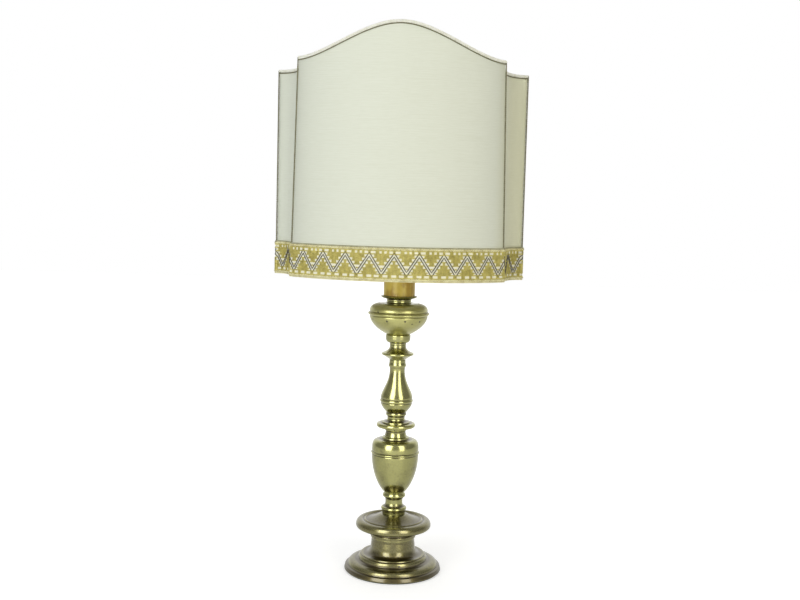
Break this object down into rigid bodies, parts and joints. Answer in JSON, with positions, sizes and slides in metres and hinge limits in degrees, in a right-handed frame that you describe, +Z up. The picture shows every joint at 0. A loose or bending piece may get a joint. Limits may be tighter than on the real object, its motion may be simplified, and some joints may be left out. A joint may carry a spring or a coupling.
{
  "type": "torchere table lamp",
  "caption": "Turned brass candlestick wired as a table lamp, with a mock candle and a shaped fabric shade with coved corners, a serpentine top and a lace hem.",
  "frame": {"origin": "centre of the felt under the foot, on the surface that the lamp stands on", "axes": "+Z up the column, the shade's front faces -Y, +X to the right seen from the front"},
  "size_m": [0.3032, 0.3176, 0.6805],
  "materials": {
    "bronze": "aged satin",
    "brass": "satin",
    "steel": "zinc plated",
    "felt": "felt",
    "candle": "wax-like satin",
    "bakelite": "moulded",
    "porcelain": "glazed",
    "cap_metal": "satin",
    "opal_glass": "opal",
    "silk": "slub weave",
    "gilt_trim": "metal-thread lace",
    "wire": "white lacquer"
  },
  "bodies": {
    "stand": {"felt_pad": "felt", "foot": "bronze", "drip_tray": "bronze", "lower_knop": "bronze", "vase": "bronze", "mid_collar": "bronze", "baluster": "bronze", "upper_collar": "bronze", "upper_knop": "bronze", "drip_pan": "bronze", "cable_bush": "bakelite", "tie_tube": "steel", "foot_washer": "steel", "foot_nut": "brass", "top_washer": "steel", "top_nut": "brass", "candle_sleeve": "candle", "holder_cap": "brass", "holder_insert": "porcelain", "centre_contact": "brass", "holder_skirt": "bakelite", "ring_nut": "bakelite"},
    "shade": {"front_panel": "silk", "back_panel": "silk", "right_panel": "silk", "left_panel": "silk", "cove_front_right": "silk", "cove_front_left": "silk", "cove_back_right": "silk", "cove_back_left": "silk", "hem_lace": "gilt_trim", "front_braid": "gilt_trim", "back_braid": "gilt_trim", "right_braid": "gilt_trim", "left_braid": "gilt_trim", "edge_piping_front_right": "gilt_trim", "edge_piping_front_left": "gilt_trim", "edge_piping_back_right": "gilt_trim", "edge_piping_back_left": "gilt_trim", "side_piping_front_right": "gilt_trim", "side_piping_front_left": "gilt_trim", "side_piping_back_right": "gilt_trim", "side_piping_back_left": "gilt_trim", "wire_frame": "wire", "fitter_ring": "wire", "arm_right": "wire", "arm_back": "wire", "arm_left": "wire", "arm_front": "wire"},
    "bulb_seat": {"bulb_tip": "cap_metal"},
    "bulb": {"bulb_insulator": "bakelite", "bulb_cap": "cap_metal", "bulb_glass": "opal_glass"}
  },
  "joints": [
    {"name": "shade_turn", "type": "hinge", "parent": "stand", "child": "shade", "pos_m": [0, 0, 0.4266], "axis": [0, 0, 1], "continuous": true},
    {"name": "bulb_rise", "type": "slide", "parent": "stand", "child": "bulb_seat", "axis": [0, 0, 1], "range_m": [0, 0.0146]},
    {"name": "bulb_turn", "type": "hinge", "parent": "bulb_seat", "child": "bulb", "pos_m": [0, 0, 0.4261], "axis": [0, 0, 1], "range_deg": [0, 1440]}
  ],
  "couplings": [
    {"joint": "bulb_rise", "follows": "bulb_turn", "m_per_rad": 0.00057757}
  ]
}
